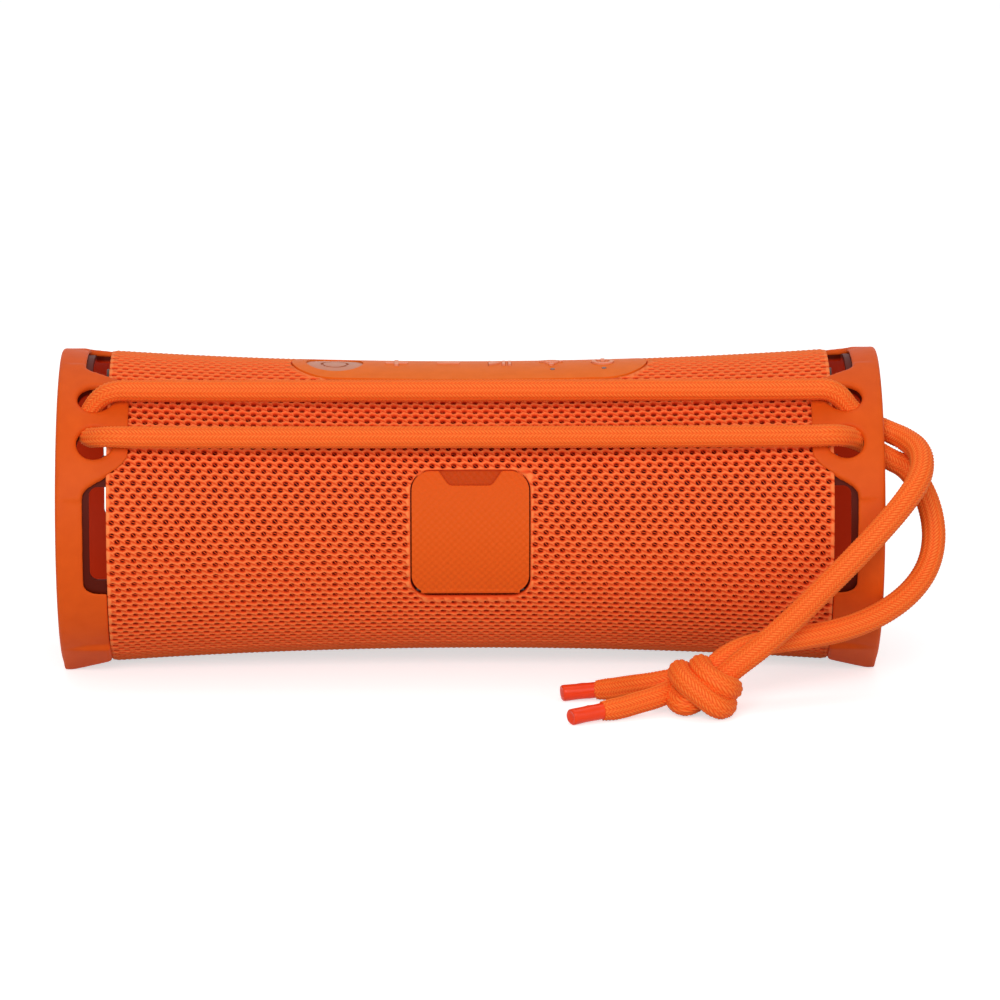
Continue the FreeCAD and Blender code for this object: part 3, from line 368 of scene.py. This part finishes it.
def pushed_out(x, phi):
    """Moves points that lie inside a cut-out to its edge."""
    step = 0.02 * MM
    for _ in range(6):
        d = cut_distance(x, phi)
        dx = (cut_distance(x + step, phi) - d) / step
        turn = step / body_radius(x)
        dphi = (cut_distance(x, phi + turn) - d) / step
        size = np.maximum(dx * dx + dphi * dphi, 1e-3)
        move = np.where(d < 0, -d / size, 0.0)
        move = np.clip(move, 0, 1.2 * MM)
        x = x + move * dx
        phi = phi + move * dphi / body_radius(x)
    return x, phi


def sleeve_points():
    """Row-line, side, hole-rim and hole-wall vertices, and the cells that they make."""
    row_angle = 2 * math.pi / MESH_ROWS
    quarter = np.arange(LINE_POINTS)
    x_line = -BODY_HALF + quarter * MESH_PITCH / 4
    xs, phis, heights, kinds = [], [], [], []
    total = 0

    def add(x, phi, height, kind):
        nonlocal total
        count = len(x)
        xs.append(np.asarray(x, float))
        phis.append(np.asarray(phi, float))
        heights.append(np.broadcast_to(height, (count,)).astype(float))
        kinds.append(np.full(count, kind))
        total += count
        return total - count

    start_phi = -math.pi
    line_start = []
    for row in range(MESH_ROWS):
        offset = 0.5 if (row - 1) % 2 == 0 else 0.0
        wave = np.cos(2 * math.pi * (quarter / 4 - offset))
        phi = start_phi + (row + 0.13 * wave) * row_angle
        edge = np.minimum(np.minimum(quarter, LINE_POINTS - 1 - quarter) / 2, 1.0)
        line_start.append(add(x_line, phi, edge * (0.24 + 0.06 * np.cos(math.pi * quarter)) * MM, LINE))
    cells, plain = [], []
    for row in range(MESH_ROWS):
        even = row % 2 == 0
        first = 0 if even else 2
        count = MESH_COLUMNS if even else MESH_COLUMNS - 1
        left = first + 4 * np.arange(count)
        phi_mid = start_phi + (row + 0.5) * row_angle
        side_x = -BODY_HALF + (first + 4 * np.arange(count + 1)) * MESH_PITCH / 4
        sides = add(side_x, np.full(count + 1, phi_mid), -SIDE_DEPTH, SIDE)
        low, high = line_start[row], line_start[(row + 1) % MESH_ROWS]
        centre = side_x[:-1] + MESH_PITCH / 2
        size = 1.0 + RNG.uniform(-0.07, 0.07, count)
        shift_x = RNG.normal(0, 0.03, count) * MM
        shift_phi = RNG.normal(0, 0.02, count) * MM / WAIST_RADIUS
        rims, walls, threads = [], [], []
        for k in range(HOLE_SIDES):
            angle = math.radians(-150 + 30 * k)
            wide = HOLE_HALF_WIDE * math.cos(angle) * size - 0.06 * MM
            tall = (HOLE_HALF_TALL * math.sin(angle) - 0.03 * MM) * size / WAIST_RADIUS
            x = centre + wide + shift_x
            phi = phi_mid + tall + shift_phi
            side_lift = math.cos(angle) ** 4
            rims.append(add(x, phi, (-0.18 + 0.24 * side_lift) * MM, RIM))
            narrow = (centre + wide * 0.7 + shift_x, phi_mid + tall * 0.7 + shift_phi)
            walls.append(add(*narrow, -WALL_DEPTH, WALL))
        # A strip of yarn across each hole, given a lighter level than the rim as a painted glint.
        lean = np.radians(-35 + RNG.uniform(-22, 22, count))
        for turn, depth in ((-0.20, -0.55), (0.20, -0.70), (math.pi - 0.20, -0.70), (math.pi + 0.20, -0.55)):
            x = centre + 0.56 * MM * np.cos(lean + turn) + shift_x
            phi = phi_mid + 0.46 * MM * np.sin(lean + turn) / WAIST_RADIUS + shift_phi
            threads.append(add(x, phi, depth * MM, THREAD))
        i = np.arange(count)
        loop = [low + left + k for k in range(5)] + [sides + i + 1]
        loop += [high + left + 4 - k for k in range(5)] + [sides + i]
        loop = np.stack(loop, 1)
        rim = np.stack([r + i for r in rims], 1)
        wall = np.stack([w + i for w in walls], 1)
        thread = np.stack([t + i for t in threads], 1)
        cells.append((np.full(count, row), loop, rim, wall, thread))
        if not even:
            last = LINE_POINTS - 1
            plain.append([low, low + 1, low + 2, sides, high + 2, high + 1, high])
            plain.append([low + last - 2, low + last - 1, low + last, high + last, high + last - 1,
                          high + last - 2, sides + count])
    rows = np.concatenate([c[0] for c in cells])
    loop, rim, wall, thread = (np.concatenate([c[k] for c in cells]) for k in (1, 2, 3, 4))
    x, phi, height, kind = (np.concatenate(v) for v in (xs, phis, heights, kinds))
    return x, phi, height, kind, rows, loop, rim, wall, thread, plain


def make_sleeve():
    """The knitted mesh sleeve as three strips of real holes, cut round the strip and the cover."""
    x, phi, height, kind, rows, loop, rim, wall, thread, plain = sleeve_points()
    d = cut_distance(x, phi)
    loop_d = d[loop]
    gone = (loop_d < -0.02 * MM).all(axis=1)
    touched = (d[rim] < 0.12 * MM).any(axis=1) & ~gone
    snapped = d < 0
    nx, nphi = pushed_out(x, phi)
    x, phi = np.where(snapped, nx, x), np.where(snapped, nphi, phi)
    height = np.where(snapped, -0.05 * MM, height)
    points = on_body(x, phi, height)
    # Each vertex's level of painted shade and highlight follows its kind.
    value = np.choose(kind, PAINTED_LIGHT_LEVELS)
    value[rim[:, [5, 11]]] = SIDE_RIM_HIGHLIGHT
    value = np.where(snapped, CUT_EDGE_LIGHT_LEVEL, value)
    faces = []
    face_rows = []
    whole = ~gone & ~touched
    k = np.arange(HOLE_SIDES)
    after = (k + 1) % HOLE_SIDES
    whole_loop, whole_rim, whole_wall = loop[whole], rim[whole], wall[whole]
    # Loop vertex k faces rim vertex k, both counted from the lower left corner.
    ring_a = np.stack([whole_loop[:, k], whole_loop[:, after], whole_rim[:, after], whole_rim[:, k]], -1)
    ring_b = np.stack([whole_rim[:, k], whole_rim[:, after], whole_wall[:, after], whole_wall[:, k]], -1)
    for ring in (ring_a, ring_b):
        faces += ring.reshape(-1, 4).tolist()
        face_rows += np.repeat(rows[whole], HOLE_SIDES).tolist()
    for cell in (thread[whole], loop[touched]):
        faces += cell.tolist()
    face_rows += rows[whole].tolist() + rows[touched].tolist()
    for n, face in enumerate(plain):
        faces.append([int(v) for v in face])
        face_rows.append(2 * (n // 2) + 1)
    edges = set()
    for face in faces:
        edges.update(zip(face, face[1:] + face[:1]))
    rim_edge = (np.abs(np.abs(x) - BODY_HALF) < 1e-7) | snapped
    skirt = {}
    extra_points, hem_shade_levels = [], []
    deep = on_body(x, phi, np.full_like(x, -HEM_DEPTH))
    extra_faces, extra_rows = [], []
    for face, row in zip(faces, face_rows):
        for a, b in zip(face, face[1:] + face[:1]):
            if rim_edge[a] and rim_edge[b] and (b, a) not in edges:
                for v in (a, b):
                    if v not in skirt:
                        skirt[v] = len(points) + len(extra_points)
                        extra_points.append(deep[v])
                        # The hem going down under the surface gets painted shade.
                        hem_shade_levels.append(HEM_SHADE)
                extra_faces.append([b, a, skirt[a], skirt[b]])
                extra_rows.append(row)
    points = np.concatenate([points, np.array(extra_points)])
    value = np.concatenate([value, hem_shade_levels])
    faces += extra_faces
    face_rows = np.array(face_rows + extra_rows)
    for name, low, high in STRIPS:
        chosen = [f for f, keep in zip(faces, (face_rows >= low) & (face_rows < high)) if keep]
        used = np.unique(np.concatenate([np.asarray(f) for f in chosen]))
        place = np.full(len(points), -1)
        place[used] = np.arange(len(used))
        renumbered = [[int(place[v]) for v in f] for f in chosen]
        strip = new_object(name, points[used], renumbered, height=value[used])
        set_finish(strip, "mesh_fabric")
        print(name, "faces", len(chosen))
    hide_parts("fabric_sleeve")


make_sleeve()


# ---------------------------------------------------------------- materials

class Look:
    """A material under construction: a principled shader with noise, bump and colour ramps round it."""

    def __init__(self, name, roughness=0.5, metallic=0.0, specular=0.5):
        self.material = bpy.data.materials.new(name)
        self.material.use_nodes = True
        self.tree = self.material.node_tree
        self.shader = self.tree.nodes["Principled BSDF"]
        self.shader.inputs["Roughness"].default_value = roughness
        self.shader.inputs["Metallic"].default_value = metallic
        self.shader.inputs["Specular IOR Level"].default_value = specular
        self.coordinates = self.add("ShaderNodeTexCoord").outputs["Object"]

    def add(self, kind, **settings):
        node = self.tree.nodes.new(kind)
        for key, value in settings.items():
            if key in node.inputs:
                node.inputs[key].default_value = value
            else:
                setattr(node, key, value)
        return node

    def link(self, a, b):
        self.tree.links.new(a, b)

    def noise(self, scale, detail=3.0, rough=0.5, stretch=(1, 1, 1)):
        node = self.add("ShaderNodeTexNoise")
        node.inputs["Scale"].default_value = scale
        node.inputs["Detail"].default_value = detail
        node.inputs["Roughness"].default_value = rough
        mapping = self.add("ShaderNodeMapping")
        mapping.inputs["Scale"].default_value = stretch
        self.link(self.coordinates, mapping.inputs["Vector"])
        self.link(mapping.outputs["Vector"], node.inputs["Vector"])
        return node.outputs["Fac"]

    def ramp(self, value, *stops):
        """A colour ramp from (place, colour) stops."""
        node = self.add("ShaderNodeValToRGB")
        elements = node.color_ramp.elements
        while len(elements) < len(stops):
            elements.new(0.5)
        for element, (place, colour) in zip(elements, stops):
            element.position = place
            element.color = (*colour, 1.0)
        self.link(value, node.inputs["Fac"])
        return node.outputs["Color"]

    def colour(self, socket):
        self.link(socket, self.shader.inputs["Base Color"])
        return self

    def bump(self, value, strength, distance):
        node = self.add("ShaderNodeBump")
        node.inputs["Strength"].default_value = strength
        node.inputs["Distance"].default_value = distance
        self.link(value, node.inputs["Height"])
        last = self.shader.inputs["Normal"].links
        if last:
            self.link(last[0].from_socket, node.inputs["Normal"])
        self.link(node.outputs["Normal"], self.shader.inputs["Normal"])
        return self

    def gloss(self, value, low, high):
        node = self.add("ShaderNodeMapRange")
        node.inputs["To Min"].default_value = low
        node.inputs["To Max"].default_value = high
        self.link(value, node.inputs["Value"])
        self.link(node.outputs["Result"], self.shader.inputs["Roughness"])
        return self


def mottled(name, dark, light, roughness, grain, depth, metallic=0.0, specular=0.5, stretch=(1, 1, 1)):
    """A moulded or plated surface: slow changes of tone, a fine grain and uneven gloss."""
    look = Look(name, roughness, metallic, specular)
    slow = look.noise(grain * 0.12, 2.0, 0.5, stretch)
    fine = look.noise(grain, 4.0, 0.6, stretch)
    look.colour(look.ramp(slow, (0.3, dark), (0.7, light)))
    look.gloss(fine, max(0.04, roughness - 0.07), min(1.0, roughness + 0.07))
    look.bump(fine, 0.35, depth)
    return look


def knitted(name):
    """Painted highlight on the yarn ridges, painted shade going deep red in the holes."""
    look = Look(name, 0.75, 0.0, 0.15)
    height = look.add("ShaderNodeAttribute", attribute_name="height").outputs["Fac"]
    # Painted shade deepening to dark red in the holes and painted highlight on the ridge tops, from each
    # vertex's level.
    look.colour(look.ramp(height, (0.0, (0.22, 0.006, 0.001)), (0.45, (0.72, 0.052, 0.006)),
                          (0.65, (0.94, 0.108, 0.018)), (1.0, (1.0, 0.240, 0.064))))
    look.bump(look.noise(4200, 2.0, 0.6, (1, 0.4, 0.4)), 0.5, 0.00008)
    look.shader.inputs["Sheen Weight"].default_value = 0.10
    look.shader.inputs["Sheen Roughness"].default_value = 0.4
    look.shader.inputs["Sheen Tint"].default_value = (1.0, 0.45, 0.20, 1.0)
    return look


def braided(name):
    """Braid yarn with a painted highlight on each stitch and painted shade in the valleys between them."""
    look = Look(name, 0.6, 0.0, 0.15)
    height = look.add("ShaderNodeAttribute", attribute_name="height").outputs["Fac"]
    look.colour(look.ramp(height, (0.0, (0.62, 0.034, 0.002)), (0.42, (0.98, 0.130, 0.012)),
                          (1.0, (1.0, 0.285, 0.052))))
    look.bump(look.noise(5200, 2.0, 0.6), 0.3, 0.00006)
    look.shader.inputs["Sheen Weight"].default_value = 0.06
    look.shader.inputs["Sheen Tint"].default_value = (1.0, 0.5, 0.2, 1.0)
    return look


def axis_distance(look):
    """How far a point of the surface is from the body's long axis."""
    split = look.add("ShaderNodeSeparateXYZ")
    look.link(look.coordinates, split.inputs["Vector"])
    lift = look.add("ShaderNodeMath", operation="SUBTRACT")
    look.link(split.outputs["Z"], lift.inputs[0])
    lift.inputs[1].default_value = AXIS_Z
    join = look.add("ShaderNodeCombineXYZ")
    look.link(split.outputs["Y"], join.inputs["Y"])
    look.link(lift.outputs["Value"], join.inputs["Z"])
    length = look.add("ShaderNodeVectorMath", operation="LENGTH")
    look.link(join.outputs["Vector"], length.inputs[0])
    return length.outputs["Value"]


def spread(look, value, low, high):
    node = look.add("ShaderNodeMapRange")
    node.inputs["From Min"].default_value = low
    node.inputs["From Max"].default_value = high
    look.link(value, node.inputs["Value"])
    return node.outputs["Result"]


def hatched(name):
    """Satin rubber with a fine diamond hatch and painted shade on the floor of the finger notch."""
    look = mottled(name, (0.74, 0.094, 0.006), (0.79, 0.104, 0.008), 0.55, 2600, 0.00004, 0.0, 0.1)
    # Painted shade: darker the deeper the surface lies in the finger notch.
    depth = spread(look, axis_distance(look), WAIST_RADIUS - 1.0 * MM, WAIST_RADIUS - 0.1 * MM)
    look.colour(look.ramp(depth, (0.0, (0.56, 0.060, 0.003)), (1.0, (0.77, 0.100, 0.007))))
    for slope in (1.0, -1.0):
        mapping = look.add("ShaderNodeMapping")
        mapping.inputs["Rotation"].default_value = (0, slope * math.radians(45), 0)
        look.link(look.coordinates, mapping.inputs["Vector"])
        wave = look.add("ShaderNodeTexWave", wave_type="BANDS", bands_direction="X")
        wave.inputs["Scale"].default_value = 235.0
        wave.inputs["Distortion"].default_value = 0.0
        look.link(mapping.outputs["Vector"], wave.inputs["Vector"])
        look.bump(wave.outputs["Fac"], 0.7, 0.00012)
    return look


def ring_frame_look(name):
    """Dark near the ring's rim and deep orange on the inner tube."""
    look = Look(name, 0.55, 0.0, 0.1)
    tone = spread(look, axis_distance(look), 36.5 * MM, 37.3 * MM)
    look.colour(look.ramp(tone, (0.0, (0.62, 0.030, 0.001)), (1.0, (0.09, 0.006, 0.001))))
    look.bump(look.noise(2500), 0.3, 0.00004)
    return look


LOOKS = {
    "mesh_fabric": knitted("knitted_mesh"),
    "cord_fabric": braided("braided_yarn"),
    "orange_rubber": mottled(
        "moulded_rubber", (0.69, 0.084, 0.004), (0.73, 0.094, 0.005), 0.55, 2200, 0.00005, 0.0, 0.14),
    "dark_frame": ring_frame_look("ring_frame"),
    "black_plastic": mottled(
        "housing_plastic", (0.08, 0.003, 0.001), (0.12, 0.005, 0.001), 0.5, 1800, 0.00004, 0.0, 0.08),
    "steel_screws": mottled(
        "blackened_screw", (0.045, 0.03, 0.028), (0.09, 0.06, 0.055), 0.45, 3000, 0.00002, 0.7),
    "black_rubber": mottled(
        "black_rubber", (0.018, 0.018, 0.018), (0.035, 0.035, 0.036), 0.55, 2400, 0.00004),
    "orange_diaphragm": mottled(
        "orange_diaphragm", (0.60, 0.075, 0.009), (0.70, 0.10, 0.014), 0.45, 2000, 0.00004),
    "panel_rubber": mottled(
        "strip_rubber", (0.80, 0.145, 0.009), (0.85, 0.160, 0.012), 0.5, 2400, 0.00004, 0.0, 0.1),
    "key_rubber": mottled(
        "key_rubber", (0.52, 0.17, 0.085), (0.60, 0.20, 0.10), 0.4, 2400, 0.00004, 0.0, 0.3),
    "symbol_rubber": mottled("symbol_rubber", (0.80, 0.24, 0.11), (0.86, 0.28, 0.14), 0.5, 2400, 0.00003),
    "circuit_board": mottled("solder_mask", (0.012, 0.07, 0.025), (0.02, 0.11, 0.04), 0.3, 1500, 0.00003),
    "switch_metal": mottled("switch_metal", (0.55, 0.55, 0.55), (0.72, 0.72, 0.72), 0.3, 3000, 0.00002, 1.0),
    "light_pipe": mottled("light_pipe", (0.10, 0.016, 0.006), (0.14, 0.022, 0.008), 0.25, 2500, 0.00001),
    "socket_metal": mottled("nickel", (0.60, 0.60, 0.60), (0.75, 0.75, 0.76), 0.22, 2600, 0.00001, 1.0),
    "foam": mottled("open_foam", (0.012, 0.012, 0.012), (0.05, 0.05, 0.05), 0.95, 3200, 0.0002),
    "magnet_metal": mottled(
        "magnet_plating", (0.05, 0.05, 0.055), (0.10, 0.10, 0.11), 0.35, 2000, 0.00002, 0.8),
    "cone_metal": mottled("anodised_cone", (0.36, 0.36, 0.38), (0.50, 0.50, 0.52), 0.3, 2400, 0.00002, 1.0),
    "dome_fabric": mottled("coated_dome", (0.03, 0.03, 0.032), (0.07, 0.07, 0.075), 0.6, 5200, 0.00005),
    "cell_wrap": mottled("shrink_wrap", (0.02, 0.09, 0.24), (0.03, 0.13, 0.32), 0.25, 900, 0.00005),
    "chip_plastic": mottled("chip_plastic", (0.02, 0.02, 0.02), (0.045, 0.045, 0.045), 0.5, 4000, 0.00002),
    "tip_plastic": mottled(
        "sealed_tip", (0.82, 0.038, 0.003), (0.90, 0.055, 0.005), 0.3, 1500, 0.00008, 0.0, 0.25),
    "port_cover": hatched("hatched_rubber"),
}


def dress():
    """Gives each node and piece the look of its material slot."""
    slots = {part["node"]: part["material_slot"] for part in frame["record"]["subparts"]}
    for name, node in frame["nodes"].items():
        look = LOOKS["port_cover" if name == "port_cover" else slots[name]]
        for place in node.material_slots:
            place.material = look.material
    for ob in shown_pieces():
        if "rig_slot" in ob:
            ob.data.materials.append(LOOKS[ob["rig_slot"]].material)


dress()


def soften(name, voxel, rounds):
    """Rounds a moulded part's edges a little and evens out its surface."""
    node = frame["nodes"][name]
    remesh = node.modifiers.new("soften", "REMESH")
    remesh.mode = "VOXEL"
    remesh.voxel_size = voxel
    remesh.use_smooth_shade = True
    smooth = node.modifiers.new("smooth", "SMOOTH")
    smooth.factor = 0.5
    smooth.iterations = rounds


for side in ("right", "left"):
    soften(side + "_bumper", 0.42 * MM, 20)


# ---------------------------------------------------------------- floor, world and lamps

def background_rays(tree):
    """1 for the rays that show the background: from the camera, or from a glossy or clear surface."""
    rays = tree.nodes.new("ShaderNodeLightPath")
    total = rays.outputs["Is Camera Ray"]
    for kind in ("Is Glossy Ray", "Is Transmission Ray"):
        larger = tree.nodes.new("ShaderNodeMath")
        larger.operation = "MAXIMUM"
        tree.links.new(total, larger.inputs[0])
        tree.links.new(rays.outputs[kind], larger.inputs[1])
        total = larger.outputs["Value"]
    return total


def make_floor():
    mesh = bpy.data.meshes.new("floor")
    half = 5.0
    corners = [(-half, -half, 0), (half, -half, 0), (half, half, 0), (-half, half, 0)]
    mesh.from_pydata(corners, [], [(0, 1, 2, 3)])
    floor = bpy.data.objects.new("floor", mesh)
    bpy.context.scene.collection.objects.link(floor)
    material = bpy.data.materials.new("floor")
    material.use_nodes = True
    tree = material.node_tree
    shader = tree.nodes["Principled BSDF"]
    shader.inputs["Base Color"].default_value = (0.75, 0.75, 0.75, 1.0)
    shader.inputs["Roughness"].default_value = 0.9
    shader.inputs["Specular IOR Level"].default_value = 0.0
    shader.inputs["Emission Color"].default_value = (1.0, 1.0, 1.0, 1.0)
    strength = tree.nodes.new("ShaderNodeMath")
    strength.operation = "MULTIPLY"
    strength.inputs[1].default_value = 0.62
    tree.links.new(background_rays(tree), strength.inputs[0])
    tree.links.new(strength.outputs["Value"], shader.inputs["Emission Strength"])
    mesh.materials.append(material)


def make_world():
    world = bpy.data.worlds.new("world")
    bpy.context.scene.world = world
    world.use_nodes = True
    tree = world.node_tree
    background = tree.nodes["Background"]
    background.inputs["Color"].default_value = (1.0, 1.0, 1.0, 1.0)
    spread = tree.nodes.new("ShaderNodeMapRange")
    spread.inputs["To Min"].default_value = 0.42
    spread.inputs["To Max"].default_value = 1.0
    tree.links.new(background_rays(tree), spread.inputs["Value"])
    tree.links.new(spread.outputs["Result"], background.inputs["Strength"])


def make_lamp(name, place, size, power):
    data = bpy.data.lights.new(name, "AREA")
    data.shape = "RECTANGLE"
    data.size, data.size_y = size
    data.energy = power
    lamp = bpy.data.objects.new(name, data)
    bpy.context.scene.collection.objects.link(lamp)
    lamp.location = place
    lamp.rotation_mode = "QUATERNION"
    lamp.rotation_quaternion = (Vector((0, 0, AXIS_Z)) - Vector(place)).to_track_quat("-Z", "Y")


make_floor()
make_world()
make_lamp("key", (-0.25, -1.45, 0.75), (0.9, 0.7), 11.5)
make_lamp("fill", (0.9, -1.2, 0.5), (0.8, 0.8), 3.0)
make_lamp("top", (0.0, 0.2, 1.4), (1.2, 0.8), 4.0)
bpy.context.scene.view_settings.view_transform = "Standard"
